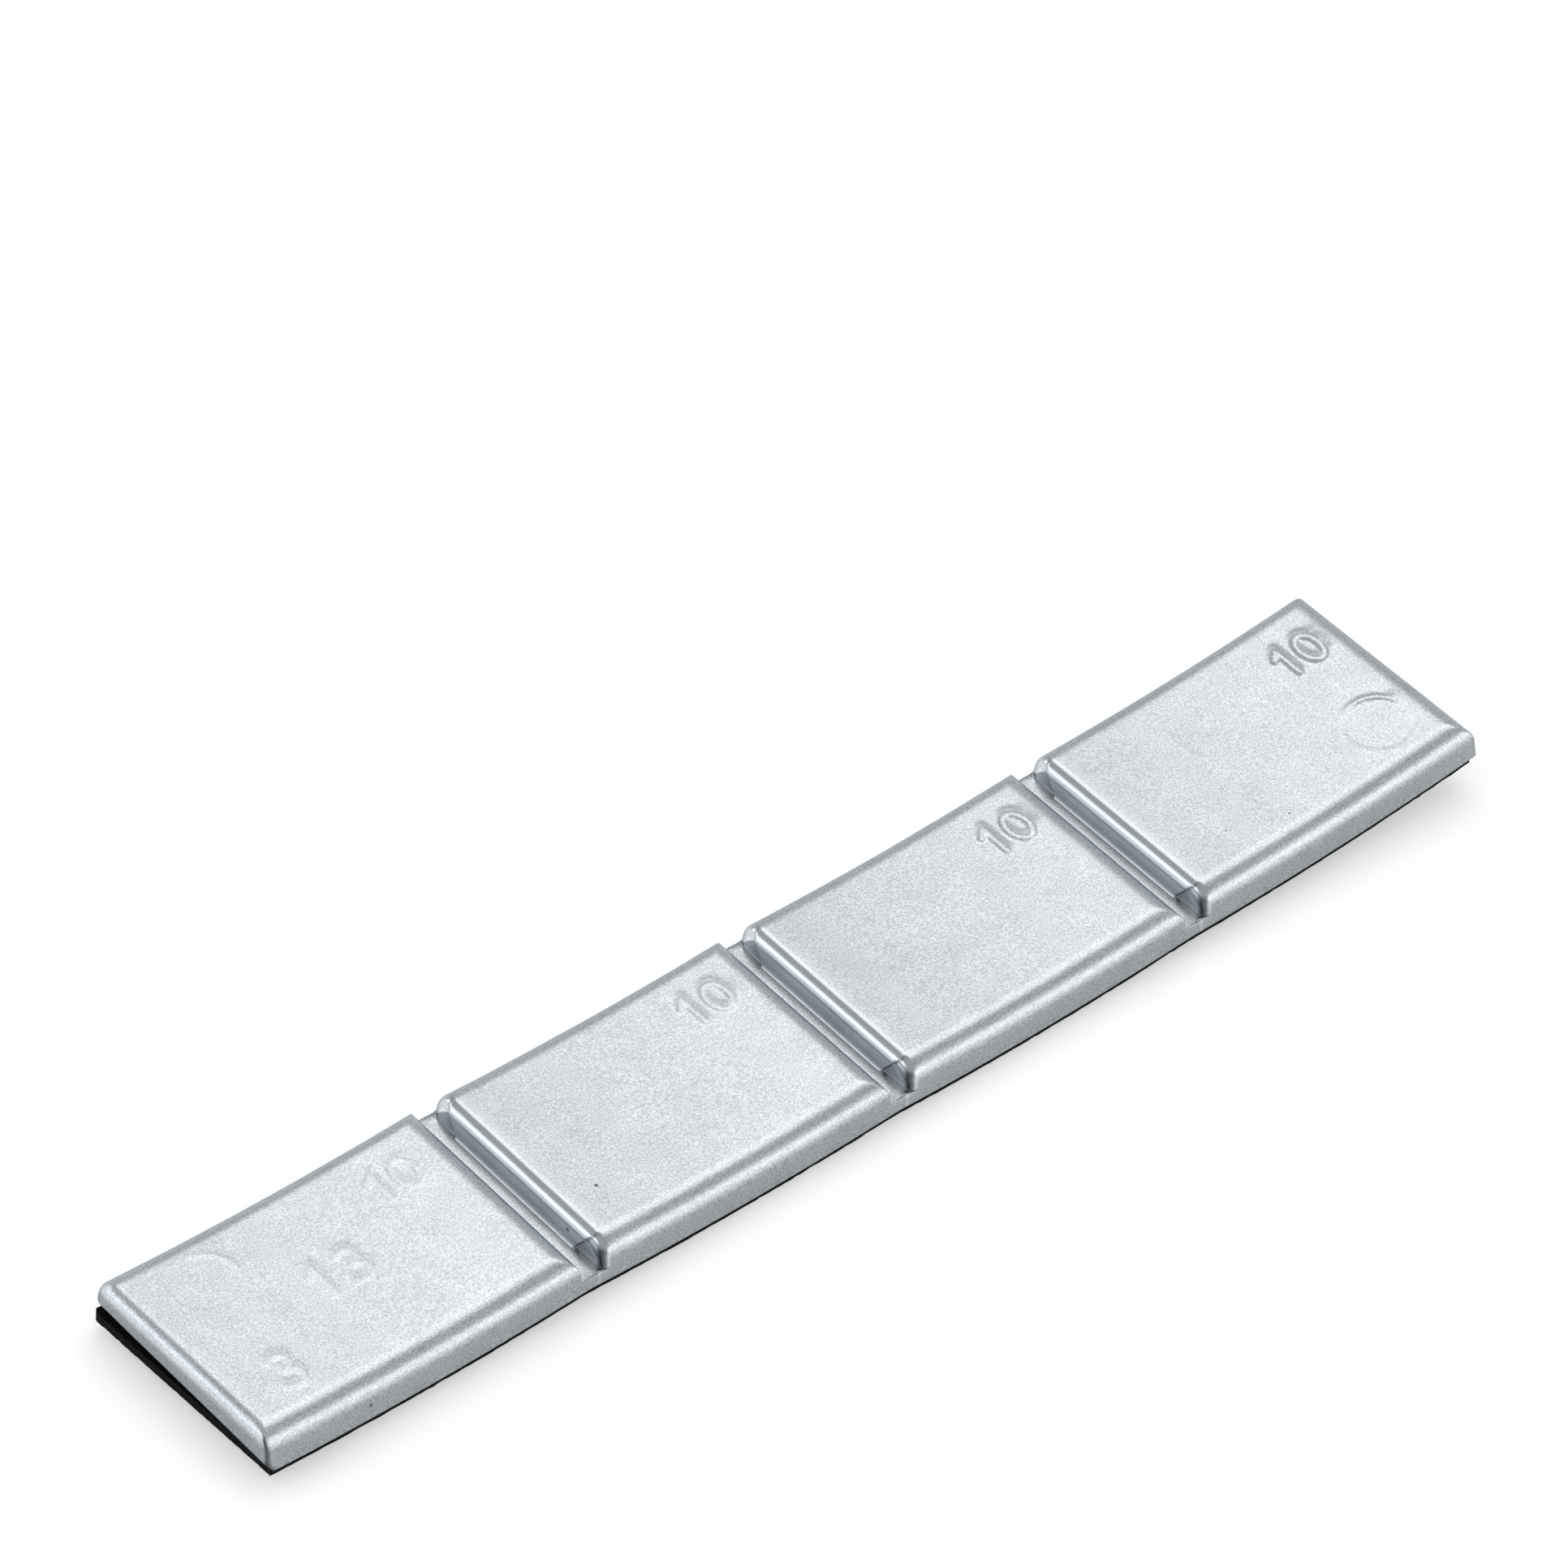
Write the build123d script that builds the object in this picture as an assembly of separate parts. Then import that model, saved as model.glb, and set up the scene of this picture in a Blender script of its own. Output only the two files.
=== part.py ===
# Stick-on wheel balance weight: one zinc die-casting of four equal segments on a foam adhesive tape.
# Millimetres. +X runs along the strip, +Y across it, +Z up from the adhesive side.
import math
import os

from build123d import *

# Casting, overall
STRIP_WIDTH = 19.0           # across the adhesive side, where the drafted walls are widest
SEGMENT_PITCH = 27.0         # one quarter of the strip, from break line to break line
THICKNESS = 3.15             # adhesive side to top face
RIM_RADIUS = 216.0           # bow of the adhesive side inside one segment, to suit a wheel rim
SIDE_DRAFT = 4.0             # degrees, long side walls
LONG_EDGE_RADIUS = 1.75      # top rounding along both long sides

# Segment ends. The crisp end looks to -X, the soft end to +X.
CRISP_END_DRAFT = 4.5        # degrees
CRISP_END_RADIUS = 0.95      # rim of the end, up one corner, across the top and down the other
SOFT_END_DRAFT = 2.0
SOFT_END_RADIUS = 1.6        # over the top only, so the corners of this end stay crisp
SOFT_END_ENTRY = 6.0         # degrees from level at which that rounding leaves the top face
SOFT_END_RUN = 1.5 * SOFT_END_RADIUS  # the last stretch of each segment is straight, clear of the rounding
FIRST_END_DRAFT = 1.0        # the strip's own -X end is almost upright
FIRST_END_EXTRA = 0.25       # and stands out past its pitch by this much

# Break grooves
WEB_THICKNESS = 1.0
GROOVE_FLOOR = 1.35          # floor width, foot to foot
WEB_BENDS = (5.9, 5.1, 3.4)  # degrees that each web has been bent flatter, from -X to +X
WEB_ROOT = 3.0               # how far each web runs on below the rounded end of the next segment
FOOT_RADIUS = 0.25           # hollow at the foot of the crisp wall
INSERT_MARGIN = 1.3          # the hollow stops this far from the long sides

# Ejector-pin marks on the two end segments, on opposite sides of the middle line
EJECTOR_DIAMETER = 5.0
EJECTOR_DEPTH = 0.08
EJECTOR_FROM_END = 5.1       # from the outer end of the segment's pitch to the mark's centre
EJECTOR_OFFSET = 4.6         # from the middle line: to +Y at the -X end, to -Y at the +X end

# Foam tape
TAPE_WIDTH = 18.5
TAPE_THICKNESS = 0.75
TAPE_SHIFT = 0.2             # laid a little towards +Y
TAPE_OVERHANG = 0.3          # past the casting at the -X end, on the +Y side
TAPE_SKEW = 0.5              # how much shorter the tape is at that end on the -Y side
TAPE_END_INSET = 0.5         # short of the casting at the +X end
TAPE_CORNER_RADIUS = 0.35    # the corner that sticks out

SEGMENT_COUNT = len(WEB_BENDS) + 1
END_SPARE = THICKNESS        # extra run at each segment end before it is trimmed to its drafted plane


class Walk:
    """A place on the adhesive line: its point in the XZ plane and the slope of the strip there."""

    def __init__(self, x, z, slope):
        self.x = x
        self.z = z
        self.slope = slope

    def at(self, along, height):
        """The XZ point that lies along the strip and above its adhesive line by the given amounts."""
        c = math.cos(self.slope)
        s = math.sin(self.slope)
        return self.x + along * c - height * s, self.z + along * s + height * c

    def plane(self):
        """Section plane across the strip: local x is +Y, local y is the strip's upright."""
        return Plane(
            origin=(self.x, 0, self.z),
            x_dir=(0, 1, 0),
            z_dir=(math.cos(self.slope), 0, math.sin(self.slope)),
        )

    def bend_axis(self, radius):
        """Axis across the strip, above the adhesive line for a positive radius, below it for a negative."""
        x, z = self.at(0.0, radius)
        return Axis((x, 0, z), (0, -1 if radius > 0 else 1, 0))

    def onward(self, length, radius):
        """The place reached after a bent run of the given length."""
        turn = length / radius
        x, z = self.at(radius * math.sin(turn), radius * (1 - math.cos(turn)))
        return Walk(x, z, self.slope + turn)

    def straight_on(self, length):
        """The place reached after a straight run of the given length."""
        x, z = self.at(length, 0.0)
        return Walk(x, z, self.slope)


def bent_run(start, section, length, radius):
    """A section carried along a bent run of the strip."""
    placed = start.plane() * section
    return revolve(placed, start.bend_axis(radius), math.degrees(abs(length / radius)))


def straight_run(start, section, length):
    """A section carried straight along the strip."""
    return extrude(start.plane() * section, length)


def drafted_section(height):
    """Cross-section of the casting up to a height: flat adhesive side and drafted long walls."""
    half = STRIP_WIDTH / 2
    top_half = half - height * math.tan(math.radians(SIDE_DRAFT))
    outline = Polyline((-half, 0), (half, 0), (top_half, height), (-top_half, height), close=True)
    return make_face(outline)


def segment_section():
    """Cross-section of a segment, with its rounded top edges."""
    face = drafted_section(THICKNESS)
    top_corners = face.vertices().filter_by(lambda v: v.Y > THICKNESS / 2)
    return fillet(top_corners, LONG_EDGE_RADIUS)


def tape_section():
    """Cross-section of the tape, below the adhesive line."""
    near = TAPE_SHIFT - TAPE_WIDTH / 2
    far = TAPE_SHIFT + TAPE_WIDTH / 2
    outline = Polyline((near, -TAPE_THICKNESS), (far, -TAPE_THICKNESS), (far, 0), (near, 0), close=True)
    return make_face(outline)


def crisp_end(block, place, foot_height, draft):
    """Trim a segment along its drafted -X end, round that rim and square it off below its foot."""
    x, z = place.at(0.0, foot_height)
    out_angle = place.slope + math.pi - math.radians(draft)
    plane = Plane(origin=(x, 0, z), x_dir=(0, 1, 0), z_dir=(math.cos(out_angle), 0, math.sin(out_angle)))
    trimmed = split(block, bisect_by=plane, keep=Keep.BOTTOM)
    end_face = trimmed.faces().sort_by(lambda f: abs(plane.to_local_coords(f.center()).Z))[0]
    foot = end_face.edges().sort_by(Axis.Z)[0]
    rim = [edge for edge in end_face.edges() if not edge.is_same(foot)]
    return split(fillet(rim, CRISP_END_RADIUS), bisect_by=place.plane(), keep=Keep.TOP)


def soft_end(block, place, foot_height):
    """Cut a segment's +X end across the strip: a drafted plane below, one wide rounding over the top."""
    lean = math.radians(SOFT_END_DRAFT)
    centre_height = THICKNESS - SOFT_END_RADIUS * math.cos(math.radians(SOFT_END_ENTRY))
    centre_along = (foot_height - centre_height) * math.tan(lean) - SOFT_END_RADIUS / math.cos(lean)

    def on_arc(angle):
        """Point of the rounding, from its crest at zero to square on to the end plane."""
        along = centre_along + SOFT_END_RADIUS * math.sin(angle)
        return along, centre_height + SOFT_END_RADIUS * math.cos(angle)

    square_on = math.pi / 2 - lean
    crest = on_arc(0.0)
    below = -END_SPARE
    above = THICKNESS + END_SPARE
    beyond = 2 * END_SPARE
    points = []
    for along, height in (
        crest,
        on_arc(square_on / 2),
        on_arc(square_on),
        (0.0, foot_height),
        (0.0, below),
        (beyond, below),
        (beyond, above),
        (crest[0], above),
    ):
        x, z = place.at(along, height)
        points.append(Vector(x, 0, z))
    arc = ThreePointArc(points[0], points[1], points[2])
    outside = Polyline(*points[2:], points[0])
    return block - extrude(make_face(arc + outside), STRIP_WIDTH, dir=(0, 1, 0), both=True)


def segment(index):
    """One segment of the casting: a bowed run from its crisp end, and the straight run of its soft end."""
    bowed = bent_run(
        segment_starts[index].onward(-END_SPARE, RIM_RADIUS),
        segment_section(),
        bowed_lengths[index] + END_SPARE,
        RIM_RADIUS,
    )
    if index == 0:
        bowed = crisp_end(bowed, segment_starts[index], 0.0, FIRST_END_DRAFT)
    else:
        bowed = crisp_end(bowed, segment_starts[index], WEB_THICKNESS, CRISP_END_DRAFT)
    straight = straight_run(straight_starts[index], segment_section(), SOFT_END_RUN + END_SPARE)
    soft_foot = 0.0 if index == SEGMENT_COUNT - 1 else WEB_THICKNESS
    return bowed.fuse(soft_end(straight, segment_stops[index], soft_foot))


def web_runs(index):
    """The web after a segment, in two runs: across the groove, then below the next segment's rounded end."""
    section = drafted_section(WEB_THICKNESS)
    return [
        bent_run(segment_stops[index], section, GROOVE_FLOOR, web_radii[index]),
        bent_run(segment_starts[index + 1], section, WEB_ROOT, RIM_RADIUS),
    ]


def foot_hollow(place):
    """Concave rounding between a groove floor and the foot of the crisp wall, clear of the long sides."""
    lean = math.radians(CRISP_END_DRAFT)
    reach = FOOT_RADIUS * math.tan(math.pi / 4 - lean / 2)
    bury = FOOT_RADIUS / 10
    centre_along = bury - reach
    centre_height = WEB_THICKNESS + FOOT_RADIUS - bury

    def on_arc(angle):
        """Point of the hollow's arc, from straight down at zero to square on to the wall."""
        along = centre_along + FOOT_RADIUS * math.sin(angle)
        return along, centre_height - FOOT_RADIUS * math.cos(angle)

    square_on = math.pi / 2 - lean
    floor_point = on_arc(0.0)
    wall_point = on_arc(square_on)
    inside = wall_point[0] + FOOT_RADIUS
    below = floor_point[1] - bury
    points = []
    for along, height in (
        floor_point,
        on_arc(square_on / 2),
        wall_point,
        (inside, wall_point[1]),
        (inside, below),
        (floor_point[0], below),
    ):
        x, z = place.at(along, height)
        points.append(Vector(x, 0, z))
    arc = ThreePointArc(points[0], points[1], points[2])
    back = Polyline(*points[2:], points[0])
    half = STRIP_WIDTH / 2 - INSERT_MARGIN
    return extrude(make_face(arc + back), half, dir=(0, 1, 0), both=True)


def ejector_mark(place, offset):
    """Round cutter for a shallow ejector-pin mark in the top face."""
    x, z = place.at(0.0, THICKNESS - EJECTOR_DEPTH)
    upright = (-math.sin(place.slope), 0, math.cos(place.slope))
    base = Plane(origin=(x, offset, z), x_dir=(0, 1, 0), z_dir=upright)
    return extrude(base * Circle(EJECTOR_DIAMETER / 2), THICKNESS)


def lay_out(first_slope):
    """Starts, straight runs and stops of the segments along the adhesive line, from -X to +X."""
    starts = [Walk(0.0, 0.0, first_slope)]
    straights = []
    stops = []
    for i in range(SEGMENT_COUNT):
        straights.append(starts[i].onward(bowed_lengths[i], RIM_RADIUS))
        stops.append(straights[i].straight_on(SOFT_END_RUN))
        if i < SEGMENT_COUNT - 1:
            starts.append(stops[i].onward(GROOVE_FLOOR, web_radii[i]))
    return starts, straights, stops


# The strip lies on its two middle segments: their bend centres are level with each other
bowed_lengths = [SEGMENT_PITCH - GROOVE_FLOOR - SOFT_END_RUN] * SEGMENT_COUNT
bowed_lengths[0] += GROOVE_FLOOR / 2 + FIRST_END_EXTRA
bowed_lengths[-1] += GROOVE_FLOOR / 2
web_radii = [-GROOVE_FLOOR / math.radians(bend) for bend in WEB_BENDS]
trial_starts, trial_straights, trial_stops = lay_out(0.0)
middle = SEGMENT_COUNT // 2
x_before, z_before = trial_starts[middle - 1].at(0.0, RIM_RADIUS)
x_after, z_after = trial_starts[middle].at(0.0, RIM_RADIUS)
segment_starts, straight_starts, segment_stops = lay_out(-math.atan2(z_after - z_before, x_after - x_before))

# Casting: each segment joined to the one before it by a web
casting = segment(0)
for i in range(1, SEGMENT_COUNT):
    casting = casting.fuse(*web_runs(i - 1), segment(i), foot_hollow(segment_starts[i]))
first_mark = segment_starts[0].onward(FIRST_END_EXTRA + EJECTOR_FROM_END, RIM_RADIUS)
last_mark = straight_starts[-1].onward(SOFT_END_RUN - EJECTOR_FROM_END, RIM_RADIUS)
casting = casting - ejector_mark(first_mark, EJECTOR_OFFSET) - ejector_mark(last_mark, -EJECTOR_OFFSET)

# Foam tape: one strip that follows the adhesive side
tape_tip = segment_starts[0].onward(-TAPE_OVERHANG, RIM_RADIUS)
tape = bent_run(tape_tip, tape_section(), bowed_lengths[0] + TAPE_OVERHANG, RIM_RADIUS)
for i in range(1, SEGMENT_COUNT):
    tape = tape.fuse(
        straight_run(straight_starts[i - 1], tape_section(), SOFT_END_RUN),
        bent_run(segment_stops[i - 1], tape_section(), GROOVE_FLOOR, web_radii[i - 1]),
        bent_run(segment_starts[i], tape_section(), bowed_lengths[i], RIM_RADIUS),
    )
tape = tape.fuse(straight_run(straight_starts[-1], tape_section(), SOFT_END_RUN - TAPE_END_INSET))

# The -X end of the tape is cut askew, and its far corner is rounded where it sticks out
tape_far = TAPE_SHIFT + TAPE_WIDTH / 2
skew = math.atan2(TAPE_SKEW, TAPE_WIDTH)
skew_cut = Plane(
    origin=(tape_tip.x, tape_far, tape_tip.z),
    x_dir=(math.sin(skew), -math.cos(skew), 0),
    z_dir=(-math.cos(skew), -math.sin(skew), 0),
)
tape = split(tape, bisect_by=skew_cut, keep=Keep.BOTTOM)
far_face = tape.faces().sort_by(Axis.Y)[-1]
corner_edge = far_face.edges().sort_by(Axis.X)[0]
tape = fillet([corner_edge], TAPE_CORNER_RADIUS)

# Shared frame: middle of the whole part's length, middle of the casting's width, lowest point at zero
left = min(tape.bounding_box().min.X, casting.bounding_box().min.X)
right = max(tape.bounding_box().max.X, casting.bounding_box().max.X)
shift = Location((-(left + right) / 2, 0, -tape.bounding_box().min.Z))

os.makedirs("parts", exist_ok=True)
export_step(shift * casting, "parts/weight_strip.step")
export_step(shift * tape, "parts/adhesive_tape.step")
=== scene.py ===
"""Stick-on wheel balance weight: a silver-coated zinc strip of four segments on a black foam tape.

Both pieces are first made flat, in millimetres: x along the strip from its -X end, y across it and z up from
the adhesive side. A node tree then lays them along the bowed adhesive line, in metres.
"""
import math

import bmesh
import bpy
import numpy as np
from mathutils import Matrix, Vector, noise


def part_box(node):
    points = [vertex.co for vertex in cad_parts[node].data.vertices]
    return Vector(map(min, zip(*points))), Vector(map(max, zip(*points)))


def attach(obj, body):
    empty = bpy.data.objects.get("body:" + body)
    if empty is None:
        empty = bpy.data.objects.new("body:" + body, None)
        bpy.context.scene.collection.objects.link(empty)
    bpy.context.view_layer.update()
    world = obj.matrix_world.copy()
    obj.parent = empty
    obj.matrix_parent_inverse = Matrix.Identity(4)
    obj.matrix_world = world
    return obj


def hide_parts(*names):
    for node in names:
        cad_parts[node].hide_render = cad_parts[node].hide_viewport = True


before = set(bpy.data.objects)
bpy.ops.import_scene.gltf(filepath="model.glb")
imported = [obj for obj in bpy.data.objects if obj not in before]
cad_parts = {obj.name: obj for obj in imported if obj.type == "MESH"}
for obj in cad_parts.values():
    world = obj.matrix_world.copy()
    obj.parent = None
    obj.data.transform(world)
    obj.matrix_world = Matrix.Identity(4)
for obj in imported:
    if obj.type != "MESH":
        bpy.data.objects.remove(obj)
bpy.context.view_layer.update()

MM = 0.001

# Casting, as in the solids unless said otherwise
STRIP_WIDTH = 19.0
SEGMENT_PITCH = 27.0
THICKNESS = 3.15
RIM_RADIUS = 216.0
SIDE_DRAFT = math.radians(4.0)
LONG_EDGE_RADIUS = 1.75
CRISP_END_DRAFT = math.radians(4.5)
CRISP_END_RADIUS = 0.95
SOFT_END_DRAFT = math.radians(2.0)
SOFT_END_RADII = (1.7, 1.7, 1.9, 1.9)        # over the top only; 1.6 in the solids
SOFT_END_RUN = 2.4           # straight last stretch of each segment
FIRST_END_DRAFT = math.radians(1.0)
FIRST_END_EXTRA = 0.25
WEB_THICKNESS = 1.0
GROOVE_FLOOR = 1.35
WEB_BENDS = (5.9, 5.1, 3.4)  # degrees
FOOT_RADIUS = 0.15           # sharper than the solids' 0.25
SEGMENT_COUNT = len(WEB_BENDS) + 1
STRIP_LENGTH = SEGMENT_COUNT * SEGMENT_PITCH

# Fine forms of the casting that only show close up
WEB_RIM_RADIUS = 0.2         # long edges of the webs
WEB_RIM_ENTRY = 0.4          # share of the floor over which that rounding grows
INSERT_EDGE = 6.5            # the mould insert ends this far from the middle, at a crisp groove wall's foot
INSERT_SLANT = 0.75          # and runs out by this much for each millimetre up
INSERT_STEP = 0.12           # beyond it the crisp groove walls stand back by this much
INSERT_BLUR = 0.06           # half width of that step
INSERT_FADE = 0.6            # share of the rim's rounding over which the step fades out
INSERT_CREASE = 0.05         # depth of the crease along the insert's edge
HOLLOW_SPREAD = 0.85         # height over which the wall's rows make room for its hollow foot
WALL_COLUMN_GAP = 0.02       # least gap between the columns at the insert's edge
MITRE_BLEND = 0.16           # softness of the line where an end's top rounding meets the long edges
LAST_NEAR_CORNER = 0.3       # upright corners of the strip's own soft end, at -Y and +Y
LAST_FAR_CORNER = 1.0
FIRST_NEAR_CORNER = 0.15     # upright -Y corner of the strip's own crisp end
FIRST_RUN_OUT = 0.5          # that end is askew: it runs out by this much on the +Y side
FIRST_NEAR_LIP = 0.67        # height of its lower edge at -Y and +Y; below it a web was broken off
FIRST_FAR_LIP = 1.25
FIRST_RECESS = 0.75          # the broken foot stands back by this share of the lip's height
FIRST_LIP_BLEND = 0.12
WAVE_HEIGHT = 0.012          # unevenness of the coated skin
WAVE_LENGTH = 3.5
FINE_WAVE_SHARE = 0.5        # finer waves on it: share of the height, times as close, and shifted
FINE_WAVE_SCALE = 2.3
FINE_WAVE_SHIFT = Vector((7.0, 3.0, 1.0))

# Cast numerals: middle of each "10", and of the plain numbers on the first segment, along and across
NUMERAL_HEIGHT = 2.7
NUMERAL_PLACES = ((20.94, 4.42), (48.19, 4.54), (75.42, 4.38), (103.19, 4.26))
NUMERAL_RISE = (0.05, 0.09, 0.13, 0.16)
BATCH_PLACE = (12.8, 0.0)
BATCH_RISE = 0.05
BATCH_HEIGHT = 3.0
CAVITY_PLACE = (4.5, -5.0)
CAVITY_RISE = 0.045
CAVITY_HEIGHT = 3.0
STROKE_CORE = 0.12           # half width of a stroke's crest
STROKE_FOOT = 0.4            # half width at its foot
STROKE_SKIRT = 0.65          # height of the soft skirt behind each stroke, as a share of its rise
STROKE_SKIRT_OFFSET = (0.18, 0.32)
STROKE_SKIRT_REACH = 0.65
DIGIT_WIDTH = 0.62           # of the digit's height
DIGIT_ADVANCE = 0.8
ONE_STROKE = ((0.1, 0.74), (0.5, 1.0), (0.5, 0.0))       # shares of the digit's width and height
DIGIT_ARCS = {               # height of the middle, half width and height, degrees from and to, points
    "0": ((0.5, 0.5, 0.5, 0.0, 360.0, 33),),
    "3": ((0.76, 0.42, 0.24, 140.0, -90.0, 17), (0.26, 0.5, 0.26, 90.0, -140.0, 17)),
}

# Ejector-pin marks: shallow discs with a soft burr round part of the rim, 0.08 deep in the solids
EJECTOR_DIAMETER = 5.0
EJECTOR_FROM_END = 5.1
EJECTOR_OFFSET = 4.6
EJECTOR_EDGE = 0.18
BURR_REACH = 0.6
BURR_FALL = 1.5              # power by which the burr falls off round the rim
EJECTOR_MARKS = (            # place, way to the burr's middle, depth of the disc, height of the burr
    ((EJECTOR_FROM_END, EJECTOR_OFFSET), (0.93, 0.37), 0.01, 0.03),
    ((STRIP_LENGTH - EJECTOR_FROM_END, -EJECTOR_OFFSET), (0.47, 0.88), 0.025, 0.13),
)

# Marks in the coat, painted shade and painted light among them: stretches over which they come or go
WALL_SHADE_ACROSS = (8.8, 9.2)     # painted shade on the walls of the long sides, from here outwards
WALL_SHADE_SIDE_TOP = (1.7, 2.3)   # and up to here
WALL_SHADE_FIRST_END = (0.05, 0.4)                 # painted shade on the strip's own end walls: back from the crisp end,
WALL_SHADE_LAST_END = (-0.5, -0.1)                 # short of the strip's length at the soft end,
WALL_SHADE_END_TOP = (1.9, 2.5)                    # and up to here
UNSHADED_GROOVE_ENTRY = 0.2        # no painted wall shade in the grooves, growing over this way before them
UNSHADED_GROOVE_DEPTH = 0.8        # and reaching this far into the next segment
EDGE_SHADE_FIRST_END = (0.05, 0.45)                # painted shade, a dark reflection, on the upright -Y edge of the crisp strip end
EDGE_SHADE_FIRST_TOP = (2.5, 3.0)
EDGE_SHADE_FLANK = (0.05, 0.3)
EDGE_SHADE_TURN_IN = (0.1, 0.6)    # and round the upright -Y corners of the crisp groove walls, in radians
EDGE_SHADE_TURN_OUT = (0.8, 1.3)
EDGE_SHADE_CORNER_TOP = (2.2, 2.7)
CREASE_SHADE_REACH = 0.12          # half width of the painted shade line along the mould insert's edge
POLISH_IN = (-0.3, -0.15)    # polished crisp groove walls and the rims over them
POLISH_OUT = (0.6, 1.4)
WALL_ENTRY = 0.05            # a crisp groove wall's marks start this far before its foot
WEB_FADE = 0.1               # and fade in over this height above the web
LIT_WALL_DEPTH = 0.25            # painted light on the upper part of those walls
LIT_WALL_HEIGHTS = (1.3, 2.3)
FOOT_HIGHLIGHT_PLACE = -0.05      # painted highlight along their foot
FOOT_HIGHLIGHT = (0.05, 0.12)
FOOT_HIGHLIGHT_TOP = (1.1, 1.2)
SPECK_CORE = 0.4             # share of a speck's radius that is quite dark
SPECKS = (                   # places of dark specks on the flat casting, and radii
    ((31.19, -4.39, 3.15), 0.2),
    ((27.75, -5.67, 1.96), 0.18),
    ((8.36, -9.42, 1.18), 0.18),
    ((87.45, -5.37, 3.15), 0.1),
    ((92.11, -6.98, 3.15), 0.1),
)

# Foam tape
TAPE_WIDTH = 18.5
TAPE_THICKNESS = 0.75
TAPE_SHIFT = 0.2
TAPE_OVERHANG = 0.4          # 0.3 in the solids
TAPE_SKEW = 0.95             # 0.5 in the solids
TAPE_END_INSET = 0.5
TAPE_CORNER_RADIUS = 0.5     # the corner that sticks out
TAPE_EDGE_RADIUS = 0.08
TAPE_CUT_ROUGHNESS = 0.08    # raggedness of the cut ends
TAPE_EDGE_WANDER = 0.06      # of the slit long edges
TAPE_NEAR_SPREAD = 0.16      # foam pressed out along its -Y edge
RAGGED_FINE = 0.35           # lengths of the fine and the coarse raggedness
RAGGED_COARSE = 1.7
RAGGED_COARSE_SHARE = 0.6
RAGGED_COARSE_SEED = 5.0     # added to the seed of the fine raggedness
START_SEED = 1.0             # seeds of the cut ends and the long edges
STOP_SEED = 2.0
NEAR_SEED = 3.0
FAR_SEED = 4.0

# Bowed adhesive line
RUNS_PER_PITCH = 3           # bowed, straight and web
LINE_LEAD = 3.0              # the line runs on past both ends of the casting
LINE_STEP = 0.1
LAY_SOCKETS = (              # inputs and output of the node tree that lays a piece along it
    ("Flat piece", "INPUT", "NodeSocketGeometry"),
    ("Line", "INPUT", "NodeSocketObject"),
    ("Lead", "INPUT", "NodeSocketFloat"),
    ("Unit", "INPUT", "NodeSocketFloat"),
    ("Finish", "INPUT", "NodeSocketMaterial"),
    ("Laid piece", "OUTPUT", "NodeSocketGeometry"),
)

# Spacing of the mesh
FINE_STEP = 0.145
PLAIN_STEP = 0.8
NUMERAL_REACH = 2.6          # half length of the fine stretch at each "10"
FIRST_DETAIL = (1.8, 16.5)   # fine stretch at the first segment's pin mark and plain numbers
EJECTOR_REACH = 3.0          # half length of the fine stretch at the last segment's pin mark
ARC_STEPS = 16
END_STEPS = 12
WALL_STEPS = 5
FLOOR_STEPS = 8
FOOT_STEPS = 5
FIRST_FOOT_SHARES = (0.0, 0.5, 0.82, 0.92, 1.0)
FIRST_WALL_SHARES = (0.06, 0.12, 0.4, 0.7, 1.0)
RIM_STEPS = 4
TAPE_STEPS_ALONG = 241
TAPE_STEPS_ACROSS = 75
TAPE_CORNER_STEPS = 5
SHARP_ANGLE = math.radians(38.0)
WELD = 1e-4

# Silver coating: pairs go from the low to the high end of what drives them
GRAIN_SCALE = 7000.0         # features to the metre
GRAIN_ROUGHNESS = 0.6
GRAIN_MIDDLE = 0.5           # even grain of polished places
CLOUD_SCALE = 330.0
CLOUD_ROUGHNESS = 0.5
NOISE_DETAIL = 2.0
FLAKE_SPAN = (0.36, 0.64)
TOP_FLAKES = ((0.51, 0.54, 0.565, 1.0), (0.78, 0.815, 0.84, 1.0))
SHADED_WALL_FLAKES = ((0.28, 0.30, 0.31, 1.0), (0.46, 0.485, 0.495, 1.0))       # painted shade: a darker copy of the top's flakes, for the outer walls
# colour of the painted shade on edges and the crease, and of the dark specks
SHADE_AND_SPECK_COLOUR = (0.1, 0.105, 0.11, 1.0)
CLOUD_SHADE = (0.9, 1.08)
# painted light brightens the crisp groove walls' colour by up to this
PAINTED_LIGHT_RANGE = (1.0, 1.4)
COAT_TINT = (0.4, 0.42, 0.44, 1.0)           # where it is seen edge on
COAT_ROUGHNESS = (0.32, 0.2)                 # plain and polished
COAT_BUMP = (0.8, 0.08)
COAT_BUMP_HEIGHT = 0.02

# Black foam
CELL_SCALE = 6000.0
CELL_SPAN = (0.05, 0.28)
CELL_COLOURS = ((0.03, 0.03, 0.032, 1.0), (0.003, 0.003, 0.0033, 1.0))
FOAM_ROUGHNESS = 0.8
FOAM_SPECULAR = 0.08
FOAM_BUMP = 0.6
FOAM_BUMP_HEIGHT = 0.05

# Camera, from a perspective fit to the photograph
CAMERA_PLACE = Vector((-252.3, -294.2, 397.3)) * MM
CAMERA_AZIMUTH = math.radians(-40.295)
CAMERA_ELEVATION = math.radians(43.847)
CAMERA_ROLL = math.radians(1.34)
CAMERA_LENS = 183.39
CAMERA_CLIP = 0.01
SENSOR_MM = 36.0

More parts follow.
